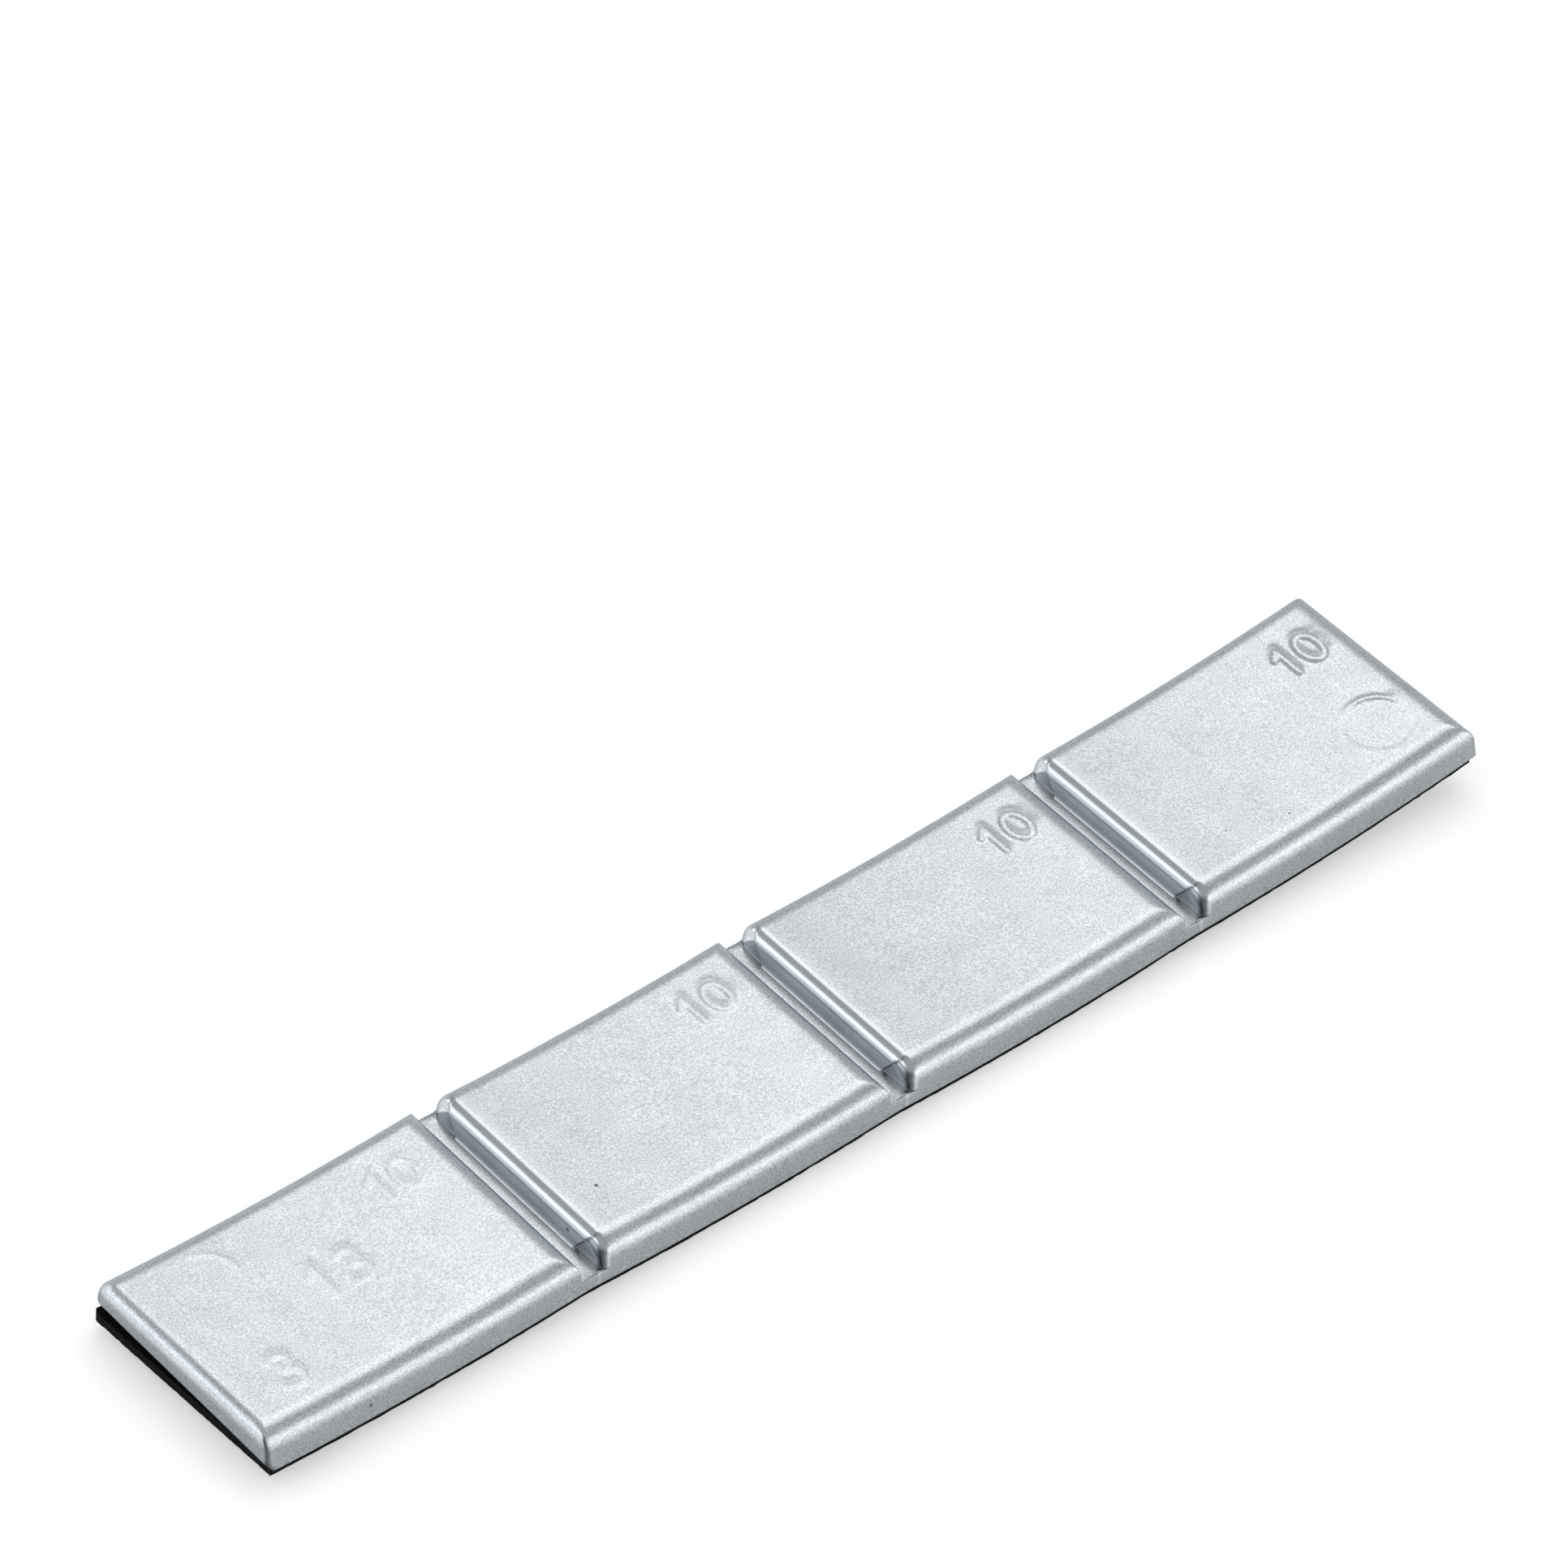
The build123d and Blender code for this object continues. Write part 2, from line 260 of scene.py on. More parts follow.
# Studio: lamps, floor and surroundings
LIGHT_DISTANCE = 0.9
LAMPS = (                    # name, azimuth and elevation, width and height in degrees, brightness, colour
    ("back_softbox", (130.0, 60.0), (50.0, 36.0), 1.09, (1.0, 1.0, 1.0)),
    ("front_strip", (30.0, 15.5), (70.0, 23.0), 1.04, (1.0, 0.99, 0.95)),
    ("left_strip", (232.0, 19.0), (70.0, 27.0), 1.05, (0.91, 0.955, 1.0)),
)
FLOOR_REACH = 3.0
FLOOR_COLOUR = (0.92, 0.92, 0.92, 1.0)
FLOOR_LIFT = 0.42
WHITE = (1.0, 1.0, 1.0, 1.0)
SKY_SPAN = (0.3, 0.75)
SKY_COLOURS = ((0.56, 0.57, 0.58, 1.0), (0.44, 0.445, 0.45, 1.0))


def smooth_step(low, high, value):
    """0 below low, 1 above high, smooth between."""
    t = np.clip((value - low) / (high - low), 0.0, 1.0)
    return t * t * (3.0 - 2.0 * t)


def fade(span, value):
    """1 below a span, 0 above it, smooth between."""
    return 1.0 - smooth_step(*span, value)


def smooth_least(values, limit, blend):
    """The lesser of the values and a limit, with the corner between them softened."""
    overlap = np.maximum(blend - np.abs(values - limit), 0.0)
    return np.minimum(values, limit) - overlap * overlap / (4.0 * max(blend, WELD))


def linked(name, data):
    """New object of some data, in the scene."""
    thing = bpy.data.objects.new(name, data)
    bpy.context.scene.collection.objects.link(thing)
    return thing


# Flat layout of the strip
def is_last(i):
    return i == SEGMENT_COUNT - 1


def segment_start(i):
    return -FIRST_END_EXTRA if i == 0 else i * SEGMENT_PITCH + GROOVE_FLOOR / 2


def segment_stop(i):
    return STRIP_LENGTH if is_last(i) else (i + 1) * SEGMENT_PITCH - GROOVE_FLOOR / 2


# Relief of the top face
def arc_stroke(middle, half_width, half_height, first, last, count):
    """Arc of a numeral in a box of height 1, as a run of points."""
    angles = np.linspace(math.radians(first), math.radians(last), count)
    along = DIGIT_WIDTH / 2 + half_width * DIGIT_WIDTH * np.cos(angles)
    return np.stack([along, middle + half_height * np.sin(angles)], 1)


def digit_strokes(digit):
    """Strokes of a plain numeral in a box of height 1, as runs of points."""
    if digit == "1":
        return [np.array(ONE_STROKE) * (DIGIT_WIDTH, 1.0)]
    return [arc_stroke(*arc) for arc in DIGIT_ARCS[digit]]


def number_strokes(text, place, height):
    """Strokes of a number, in flat strip millimetres, centred on a place."""
    width = DIGIT_ADVANCE * (len(text) - 1) + DIGIT_WIDTH
    runs = []
    for k, digit in enumerate(text):
        for run in digit_strokes(digit):
            runs.append((run + (k * DIGIT_ADVANCE - width / 2, -0.5)) * height + place)
    return runs


def distance_to_strokes(along, across, runs):
    """Distance of each point from the nearest stroke."""
    nearest = np.full(along.shape, np.inf)
    for run in runs:
        for (ax, ay), (bx, by) in zip(run[:-1], run[1:]):
            dx, dy = bx - ax, by - ay
            t = np.clip(((along - ax) * dx + (across - ay) * dy) / (dx * dx + dy * dy), 0.0, 1.0)
            nearest = np.minimum(nearest, np.hypot(along - ax - t * dx, across - ay - t * dy))
    return nearest


def numeral_relief(along, across):
    """Height that the cast numerals add to the top face."""
    rise = np.zeros(along.shape)
    numbers = [("10", place, NUMERAL_HEIGHT, crest) for place, crest in zip(NUMERAL_PLACES, NUMERAL_RISE)]
    numbers.append(("13", BATCH_PLACE, BATCH_HEIGHT, BATCH_RISE))
    numbers.append(("3", CAVITY_PLACE, CAVITY_HEIGHT, CAVITY_RISE))
    skirt_x, skirt_y = STROKE_SKIRT_OFFSET
    for text, place, height, crest in numbers:
        strokes = number_strokes(text, place, height)
        stroke = fade((STROKE_CORE, STROKE_FOOT), distance_to_strokes(along, across, strokes))
        behind = distance_to_strokes(along - skirt_x, across - skirt_y, strokes)
        skirt = STROKE_SKIRT * fade((0.0, STROKE_SKIRT_REACH), behind)
        rise += crest * np.maximum(stroke, skirt)
    return rise


def ejector_relief(along, across):
    """Depth of the two ejector-pin marks, taken off the top face, less the burr round part of their rims."""
    depth = np.zeros(along.shape)
    radius = EJECTOR_DIAMETER / 2
    for (x, y), (way_x, way_y), deep, burr in EJECTOR_MARKS:
        reach = np.hypot(along - x, across - y)
        facing = ((along - x) * way_x + (across - y) * way_y) / np.maximum(reach, WELD)
        skirt = smooth_step(radius - EJECTOR_EDGE, radius, reach)
        skirt *= fade((radius, radius + BURR_REACH), reach)
        depth += deep * fade((radius - EJECTOR_EDGE, radius + EJECTOR_EDGE), reach)
        depth -= burr * np.maximum(facing, 0.0) ** BURR_FALL * skirt
    return depth


# Cross-section of a segment, from the web's height on the -Y side over the top to the +Y side
def flank_half(height):
    """Half width of the strip at a height on its drafted flanks."""
    return STRIP_WIDTH / 2 - height * math.tan(SIDE_DRAFT)


def cross_positions():
    """Places of the top face's points across the strip."""
    half = flank_half(THICKNESS - LONG_EDGE_RADIUS) - LONG_EDGE_RADIUS / math.cos(SIDE_DRAFT)
    count = int(round(2 * half / FINE_STEP))
    return np.linspace(-half, half, count + 1)


def section_points():
    """Points of the section and its outward directions: arrays of y, z, normal y, normal z."""
    flank = []
    arc_height = THICKNESS - LONG_EDGE_RADIUS + LONG_EDGE_RADIUS * math.sin(SIDE_DRAFT)
    for z in np.linspace(WEB_THICKNESS, arc_height, WALL_STEPS)[:-1]:
        flank.append((flank_half(z), z, 1.0 / math.cos(SIDE_DRAFT), 0.0))
    top_half = cross_positions()[-1]
    for angle in np.linspace(SIDE_DRAFT, math.pi / 2, ARC_STEPS + 1)[:-1]:
        ny, nz = math.cos(angle), math.sin(angle)
        flank.append((top_half + LONG_EDGE_RADIUS * ny, THICKNESS - LONG_EDGE_RADIUS * (1.0 - nz), ny, nz))
    near = [(-y, z, -ny, nz) for y, z, ny, nz in flank]
    top = [(y, THICKNESS, 0.0, 1.0) for y in cross_positions()]
    return np.array(near + top + flank[::-1]).T


SECTION_Y, SECTION_Z, NORMAL_Y, NORMAL_Z = section_points()
FLANK_COUNT = (WALL_STEPS - 1) + ARC_STEPS
TOP_POINTS = slice(FLANK_COUNT, len(SECTION_Y) - FLANK_COUNT)
CROSS_SHARES = (SECTION_Y[TOP_POINTS] / SECTION_Y[TOP_POINTS][-1] + 1.0) / 2.0


def crisp_rounding():
    """Draw-in of the outline and way back from the crisp end plane, from that plane to the full section."""
    angles = np.linspace(math.pi / 2, 0.0, END_STEPS + 1)
    return CRISP_END_RADIUS * (1.0 - np.cos(angles)), CRISP_END_RADIUS * (1.0 - np.sin(angles))


def soft_centre(i):
    """Centre of the soft end's rounding: its place along the strip and its height."""
    foot = 0.0 if is_last(i) else WEB_THICKNESS
    height = THICKNESS - SOFT_END_RADII[i]
    inset = (height - foot) * math.tan(SOFT_END_DRAFT) + SOFT_END_RADII[i] / math.cos(SOFT_END_DRAFT)
    return segment_stop(i) - inset, height


def crisp_line(i, height, back):
    """Place along the strip of a point at a segment's crisp end, on its leaning plane or back from it."""
    foot, draft = (0.0, FIRST_END_DRAFT) if i == 0 else (WEB_THICKNESS, CRISP_END_DRAFT)
    lean = np.maximum(height - foot, 0.0) * math.tan(draft)
    return segment_start(i) + (lean + back)


def insert_line(height):
    """Distance of the mould insert's slanted edge from the middle, at a height on a crisp groove wall."""
    return INSERT_EDGE + INSERT_SLANT * (height - WEB_THICKNESS)


def past_insert(across, height):
    """How far a point of a crisp groove wall lies past the edge of the mould insert that made it."""
    return np.abs(across) - insert_line(height)


def beyond_insert(across, height):
    """0 on the stretch of a crisp groove wall that the mould insert made, 1 beside it."""
    return smooth_step(-INSERT_BLUR, INSERT_BLUR, past_insert(across, height))


def insert_step(across, height, share):
    """How far a crisp groove wall stands back beside the mould insert, and in the crease along its edge."""
    crease = np.maximum(1.0 - np.abs(past_insert(across, height)) / INSERT_BLUR, 0.0)
    return share * (INSERT_STEP * beyond_insert(across, height) + INSERT_CREASE * crease)


def first_lip(across):
    """Height of the lower edge of the strip's own crisp end."""
    return FIRST_NEAR_LIP + (FIRST_FAR_LIP - FIRST_NEAR_LIP) * (across / STRIP_WIDTH + 0.5)


def first_end_line(back):
    """Line of the strip's own crisp end, at a way back from its plane: askew, with its foot broken away."""
    def line(across, height):
        run_out = FIRST_RUN_OUT * (across / STRIP_WIDTH + 0.5)
        below_lip = -smooth_least(height - first_lip(across), 0.0, FIRST_LIP_BLEND)
        recess = FIRST_RECESS * below_lip * (1.0 - back / CRISP_END_RADIUS)
        return crisp_line(0, height, back) - run_out + recess
    return line


def soft_line(i, angle):
    """Line of a soft end's row at an angle round its top rounding: upright first, in the end plane last."""
    centre_along, centre_height = soft_centre(i)
    plane_height = centre_height + SOFT_END_RADII[i] * math.sin(SOFT_END_DRAFT)
    slant = math.sin(angle) * math.tan(SOFT_END_DRAFT) / math.cos(SOFT_END_DRAFT)
    crest = centre_along + SOFT_END_RADII[i] * math.sin(angle)

    def line(across, height):
        return crest + slant * np.maximum(plane_height - height, 0.0)
    return line


def detail_spans(i):
    """Stretches of a segment's top face that carry relief."""
    numeral = NUMERAL_PLACES[i][0]
    spans = [(numeral - NUMERAL_REACH, numeral + NUMERAL_REACH)]
    if i == 0:
        spans.append(FIRST_DETAIL)
    if is_last(i):
        mark = STRIP_LENGTH - EJECTOR_FROM_END
        spans.append((mark - EJECTOR_REACH, mark + EJECTOR_REACH))
    return spans


def body_positions(i):
    """Places along a segment between its two end roundings, close together where there is relief."""
    low = crisp_line(i, THICKNESS, CRISP_END_RADIUS)
    high = soft_centre(i)[0]
    places = [low]
    while places[-1] < high:
        here = places[-1]
        fine = any(a - PLAIN_STEP <= here <= b for a, b in detail_spans(i))
        places.append(here + (FINE_STEP if fine else PLAIN_STEP))
    places = np.array(places)
    return low + (places - low) * (high - low) / (places[-1] - low)


class Skin:
    """Faces collected from grids of points, welded into one closed mesh at the end."""

    def __init__(self):
        self.points = []
        self.faces = []

    def grid(self, rows):
        """Adds a grid: rows of points, each an array of (x, y, z)."""
        rows = [np.asarray(row, float) for row in rows]
        base = len(self.points)
        width = len(rows[0])
        for row in rows:
            self.points.extend(row.tolist())
        for r in range(len(rows) - 1):
            for c in range(width - 1):
                a = base + r * width + c
                self.faces.append((a, a + 1, a + width + 1, a + width))

    def flat_face(self, outline):
        """Adds one flat face with the given outline."""
        base = len(self.points)
        self.points.extend(np.asarray(outline, float).tolist())
        self.faces.append(tuple(range(base, len(self.points))))

    def mesh(self, name):
        """One welded mesh with its faces outwards."""
        data = bpy.data.meshes.new(name)
        data.from_pydata(self.points, [], self.faces)
        shape = bmesh.new()
        shape.from_mesh(data)
        bmesh.ops.remove_doubles(shape, verts=shape.verts, dist=WELD)
        bmesh.ops.dissolve_degenerate(shape, edges=shape.edges, dist=WELD)
        bmesh.ops.recalc_face_normals(shape, faces=shape.faces)
        shape.to_mesh(data)
        shape.free()
        return data


class Row:
    """A row of section points, its draw-in at the -Y and +Y walls, and its line below the web's height."""

    def __init__(self, points, near_in=0.0, far_in=0.0, low_line=None):
        self.points = points
        self.draw_in = {-1: near_in, 1: far_in}
        self.low_line = low_line

    def low_along(self, side, across, height):
        """Place along the strip of the row's wall point at a height up to the web's."""
        if self.low_line:
            return self.low_line(across, height)
        return self.points[0 if side < 0 else -1, 0]


def corner_in(radius, back):
    """Draw-in of an upright corner of the given radius, at a way back from its end plane."""
    inside = max(radius - back, 0.0)
    return radius - math.sqrt(radius * radius - inside * inside)


def first_end_row(draw_in, back):
    """Row of the strip's own crisp end: its rim is rounded over the top and down the +Y corner only."""
    near = np.arange(len(SECTION_Y)) < FLANK_COUNT
    near_in = corner_in(FIRST_NEAR_CORNER, back)
    y = SECTION_Y - np.where(near, near_in, draw_in) * NORMAL_Y
    cut_off = smooth_least(SECTION_Z, THICKNESS - draw_in, min(MITRE_BLEND, draw_in))
    z = np.where(near, cut_off, SECTION_Z - draw_in * NORMAL_Z)
    line = first_end_line(back)
    return Row(np.stack([line(y, z), y, z], 1), near_in, draw_in, line)


def crisp_rows(i):
    """Rows of a crisp end, from its end plane to the full section, drawn in by the rounding of its rim."""
    rows = []
    for draw_in, back in zip(*crisp_rounding()):
        if i == 0:
            rows.append(first_end_row(draw_in, back))
            continue
        y = SECTION_Y - draw_in * NORMAL_Y
        z = SECTION_Z - draw_in * NORMAL_Z
        share = smooth_step(0.0, INSERT_FADE, draw_in / CRISP_END_RADIUS)
        x = crisp_line(i, z, back) + insert_step(y, z, share)
        rows.append(Row(np.stack([x, y, z], 1), draw_in, draw_in))
    return rows


def soft_rows(i):
    """Rows of a soft end, from the full section to its end plane, cut off by one rounding over the top."""
    rows = []
    for angle in np.linspace(0.0, math.pi / 2 - SOFT_END_DRAFT, END_STEPS + 1):
        limit = soft_centre(i)[1] + SOFT_END_RADII[i] * math.cos(angle)
        z = smooth_least(SECTION_Z, limit, min(MITRE_BLEND, THICKNESS - limit))
        line = soft_line(i, angle)
        if not is_last(i):
            rows.append(Row(np.stack([line(SECTION_Y, z), SECTION_Y, z], 1)))
            continue
        back = SOFT_END_RADII[i] * (math.cos(SOFT_END_DRAFT) - math.sin(angle))
        near_in, far_in = corner_in(LAST_NEAR_CORNER, back), corner_in(LAST_FAR_CORNER, back)
        y = SECTION_Y - np.where(SECTION_Y < 0.0, near_in, far_in) * NORMAL_Y
        rows.append(Row(np.stack([line(y, z), y, z], 1), near_in, far_in, line))
    return rows


def segment_rows(i):
    """All rows of a segment: its crisp end, its body and its soft end."""
    crisp, soft = crisp_rows(i), soft_rows(i)
    first, last = crisp[-1].points, soft[0].points
    places = body_positions(i)
    shares = (places - places[0]) / (places[-1] - places[0])
    body = [Row(first + share * (last - first)) for share in shares[1:-1]]
    return crisp, body, soft


def with_relief(row):
    """A section row with the numerals and pin marks on its top face."""
    row = row.copy()
    along, across = row[TOP_POINTS, 0], row[TOP_POINTS, 1]
    row[TOP_POINTS, 2] += numeral_relief(along, across) - ejector_relief(along, across)
    return row


def crisp_wall(i, end_row):
    """Crisp wall of a groove: rows across it from its foot up to its top edge."""
    rows = []
    for side_point in end_row[:FLANK_COUNT]:
        across = wall_columns(-side_point[1], side_point[2])
        height = np.full(across.shape, side_point[2])
        lift_left = np.maximum(1.0 - (height - WEB_THICKNESS) / HOLLOW_SPREAD, 0.0)
        height += hollow_rise(across) * lift_left
        along = crisp_line(i, height, 0.0) + insert_step(across, height, 1.0)
        rows.append(np.stack([along, across, height], 1))
    rows.append(end_row[TOP_POINTS])
    return hollow_rows(i, rows[0][:, 1]) + rows


def first_end_wall(end_row):
    """Wall of the strip's own crisp end: upright columns, as rows from its foot up to its rim."""
    across, top = end_row[:, 1], end_row[:, 2]
    lip = np.minimum(first_lip(across), top)
    heights = [lip * share for share in FIRST_FOOT_SHARES]
    heights += [lip + (top - lip) * share for share in FIRST_WALL_SHARES]
    return [np.stack([first_end_line(0.0)(across, height), across, height], 1) for height in heights]


def wall_columns(half, height):
    """Places across a crisp wall that is this wide to either side, with columns at the insert's edge."""
    line = insert_line(height)
    edge = [half]
    for place in (line + INSERT_BLUR, line, line - INSERT_BLUR):
        edge.append(min(place, edge[-1] - WALL_COLUMN_GAP))
    inner = np.linspace(-edge[-1], edge[-1], len(CROSS_SHARES) - 2 * len(edge) + 2)
    return np.concatenate([-np.array(edge[:-1]), inner, np.array(edge[:-1])[::-1]])


def hollow_rise(across):
    """Height above the floor at which the hollow foot of a crisp groove wall runs out into the wall."""
    return FOOT_RADIUS * (1.0 - math.sin(CRISP_END_DRAFT)) * (1.0 - beyond_insert(across, WEB_THICKNESS))


def hollow_rows(i, across):
    """Hollow foot of a crisp groove wall: rows from the floor up to the wall."""
    radius = FOOT_RADIUS * (1.0 - beyond_insert(across, WEB_THICKNESS))
    foot = segment_start(i) + insert_step(across, WEB_THICKNESS, 1.0)
    reach = math.tan(math.pi / 4 - CRISP_END_DRAFT / 2)
    rows = []
    for angle in np.linspace(0.0, math.pi / 2 - CRISP_END_DRAFT, FOOT_STEPS + 1)[:-1]:
        along = foot + radius * (math.sin(angle) - reach)
        rows.append(np.stack([along, across, WEB_THICKNESS + radius * (1.0 - math.cos(angle))], 1))
    return rows


def low_row(row, side):
    """Side wall of a segment's row up to the web's height."""
    points = []
    for height in (0.0, WEB_THICKNESS / 2, WEB_THICKNESS):
        across = side * (flank_half(height) - row.draw_in[side] / math.cos(SIDE_DRAFT))
        points.append((row.low_along(side, across, height), across, height))
    return points


def web_row(side, along, rim):
    """Side wall of a web: at the adhesive side, half way up and where the rounding of its rim starts."""
    heights = (0.0, WEB_THICKNESS / 2, WEB_THICKNESS - rim)
    return [(along, side * flank_half(height), height) for height in heights]


def rim_row(side, along, rim):
    """Rounded long edge of a web, from the side wall on to the floor."""
    row = [web_row(side, along, rim)[-1]]
    for angle in np.linspace(0.0, math.pi / 2, RIM_STEPS + 1)[1:]:
        across = flank_half(WEB_THICKNESS) - rim * (1.0 - math.cos(angle))
        row.append((along, side * across, WEB_THICKNESS - rim * (1.0 - math.sin(angle))))
    return row


def ledge_rim(draw_in):
    """Rounding of the web's long edge beside the upright corner of a crisp groove wall."""
    return min(WEB_RIM_RADIUS, draw_in / 2)


def low_rows_of(i, side, segment):
    """Side wall of a segment below the web's height, row by row."""
    crisp, body, soft = segment
    if i == 0:
        return [low_row(row, side) for row in crisp + body + soft]
    corner = 0 if side < 0 else -1
    ledge = [web_row(side, row.points[corner, 0], ledge_rim(row.draw_in[side])) for row in crisp]
    return ledge + [low_row(row, side) for row in body + soft]


def casting_skin():
    """The whole casting, flat."""
    skin = Skin()
    segments = [segment_rows(i) for i in range(SEGMENT_COUNT)]
    walls = {-1: [], 1: []}
    for i, (crisp, body, soft) in enumerate(segments):
        skin.grid([with_relief(row.points) for row in crisp + body + soft])
        if i > 0:
            skin.grid(crisp_wall(i, crisp[0].points))
        for side in walls:
            walls[side] += low_rows_of(i, side, segments[i])
        soft_end = soft[-1].points
        if is_last(i):
            near, far = walls[-1][-1], walls[1][-1]
            skin.flat_face(near[:-1] + list(soft_end) + far[-2::-1])
        else:
            floor = groove_floor(skin, i, soft_end, segments[i + 1][0])
            skin.flat_face(np.concatenate([soft_end, floor[0][0][-2:0:-1]]))
            for line, rim in floor[1:-1]:
                walls[-1].append(web_row(-1, line[0, 0], rim))
                walls[1].append(web_row(1, line[-1, 0], rim))
    for side in walls:
        skin.grid(walls[side])
    underside = [(near[0], far[0]) for near, far in zip(walls[-1], walls[1])]
    skin.grid(underside[1:])
    close_first_end(skin, segments[0][0][0].points, walls[-1][0], walls[1][0], underside[1])
    return skin


def close_first_end(skin, end_row, near_low, far_low, next_underside):
    """The strip's own crisp end: its wall, the slivers beside it and the underside up to the next row."""
    wall = first_end_wall(end_row)
    skin.grid(wall)
    for low, corner in ((near_low, 0), (far_low, -1)):
        upright = [row[corner] for row in wall[-2::-1] if low[-1][2] - row[corner, 2] > WELD]
        skin.flat_face(low + upright)
    foot = [near_low[0]] + list(wall[0]) + [far_low[0]]
    skin.flat_face(foot + [next_underside[1], next_underside[0]])


def groove_floor(skin, i, soft_end, crisp):
    """Adds the floor and ledges of the groove after a segment. Returns its lines and their ends' rounding."""
    for side, corner in ((-1, 0), (1, -1)):
        rims = [rim_row(side, row.points[corner, 0], ledge_rim(row.draw_in[side])) for row in crisp]
        skin.grid(rims)
        skin.grid([(rim[-1], tuple(row.points[corner])) for rim, row in zip(rims, crisp)])
    stop = crisp_wall(i + 1, crisp[0].points)[0]
    near, far = soft_end[0], soft_end[-1]
    start = near + CROSS_SHARES[:, None] * (far - near)
    floor = []
    rows = []
    for share in np.linspace(0.0, 1.0, FLOOR_STEPS + 1):
        line = start + share * (stop - start)
        rim = WEB_RIM_RADIUS * float(smooth_step(0.0, WEB_RIM_ENTRY, share))
        near_rim = rim_row(-1, line[0, 0], rim)
        far_rim = rim_row(1, line[-1, 0], rim)
        rows.append(np.concatenate([near_rim, line, far_rim[::-1]]))
        floor.append((line, rim))
    skin.grid(rows)
    return floor


def vertex_values(data, name):
    """Vectors of a mesh's vertices, as an array."""
    values = np.empty(len(data.vertices) * 3)
    data.vertices.foreach_get(name, values)
    return values.reshape(-1, 3)


def near_flank(height):
    """Place across the strip of its -Y flank at a height."""
    above = np.maximum(height - THICKNESS + LONG_EDGE_RADIUS, 0.0)
    arc = SECTION_Y[TOP_POINTS][0] - np.sqrt(np.maximum(LONG_EDGE_RADIUS ** 2 - above ** 2, 0.0))
    return np.maximum(arc, -flank_half(height))


def groove_marks(i, x, y, z):
    """Amounts round the groove before a segment: where the painted wall shade is left off, painted shade on
    its corners and crease, polish, and painted light on its wall.
    """
    into = x - segment_start(i)
    above_web = smooth_step(WEB_THICKNESS, WEB_THICKNESS + WEB_FADE, z)
    full = above_web * smooth_step(-GROOVE_FLOOR - UNSHADED_GROOVE_ENTRY, -GROOVE_FLOOR, into)
    full *= into < UNSHADED_GROOVE_DEPTH
    wall = above_web * (into > -WALL_ENTRY) * (into < CRISP_END_RADIUS)
    turn = np.arctan2(CRISP_END_RADIUS - into, CRISP_END_RADIUS - y + near_flank(z))
    # painted shade: a dark reflection round the upright -Y corners, and a dark line along the insert's crease
    corner = smooth_step(*EDGE_SHADE_TURN_IN, turn) * fade(EDGE_SHADE_TURN_OUT, turn) * fade(EDGE_SHADE_CORNER_TOP, z)
    crease = np.maximum(1.0 - np.abs(past_insert(y, z)) / CREASE_SHADE_REACH, 0.0)
    polish = smooth_step(*POLISH_IN, into) * fade(POLISH_OUT, into)
    # painted light: a lighter upper part of the crisp groove wall, and a painted highlight along its foot
    upper = wall * (into < LIT_WALL_DEPTH) * smooth_step(*LIT_WALL_HEIGHTS, z)
    foot = fade(FOOT_HIGHLIGHT, np.abs(into - FOOT_HIGHLIGHT_PLACE)) * fade(FOOT_HIGHLIGHT_TOP, z)
    return full, wall * np.maximum(crease, corner), polish, np.maximum(upper, foot)


def mark_coat(data):
    """Stores where the flat casting gets painted shade or painted light, where it is polished, and where its
    points lie.
    """
    points = vertex_values(data, "co")
    x, y, z = points.T
    behind_end = x - first_end_line(0.0)(y, z)
    sides = smooth_step(*WALL_SHADE_ACROSS, np.abs(y))
    # Painted shade, a dark reflection, on the upright -Y edge of the strip's own crisp end.
    darkening = fade(EDGE_SHADE_FIRST_END, behind_end) * fade(EDGE_SHADE_FLANK, y - near_flank(z)) * fade(EDGE_SHADE_FIRST_TOP, z)
    polished = np.zeros(x.shape)
    painted_light = np.zeros(x.shape)
    for i in range(1, SEGMENT_COUNT):
        full, groove_edge_shade, groove_polished, groove_painted_light = groove_marks(i, x, y, z)
        sides *= 1.0 - full
        darkening = np.maximum(darkening, groove_edge_shade)
        polished = np.maximum(polished, groove_polished)
        painted_light = np.maximum(painted_light, groove_painted_light)
    # Painted shade on the outer walls: the long sides and the strip's own ends, up to a height, left off in
    # the grooves.
    ends = np.maximum(fade(WALL_SHADE_FIRST_END, behind_end), smooth_step(*WALL_SHADE_LAST_END, x - STRIP_LENGTH))
    wall_shade = np.maximum(sides * fade(WALL_SHADE_SIDE_TOP, z), ends * fade(WALL_SHADE_END_TOP, z))
    marks = {"thin_coat": wall_shade, "worn_dark": darkening, "polished": polished, "wall_glow": painted_light}
    for name, values in marks.items():
        data.attributes.new(name, "FLOAT", "POINT").data.foreach_set("value", values)
    place = data.attributes.new("flat_place", "FLOAT_VECTOR", "POINT")
    place.data.foreach_set("vector", points.ravel())


def skin_wave(place):
    """Two scales of soft waves, about -1 to 1."""
    fine = noise.noise(place * FINE_WAVE_SCALE + FINE_WAVE_SHIFT)
    return noise.noise(place) + FINE_WAVE_SHARE * fine


def uneven(data):
    """Gives a flat mesh the slight unevenness of a coated casting, above its adhesive side."""
    points = vertex_values(data, "co")
    swell = np.array([skin_wave(Vector(point) / WAVE_LENGTH) for point in points])
    swell *= WAVE_HEIGHT * smooth_step(0.0, WEB_THICKNESS / 2, points[:, 2])
    points += vertex_values(data, "normal") * swell[:, None]
    data.vertices.foreach_set("co", points.ravel())
    data.update()


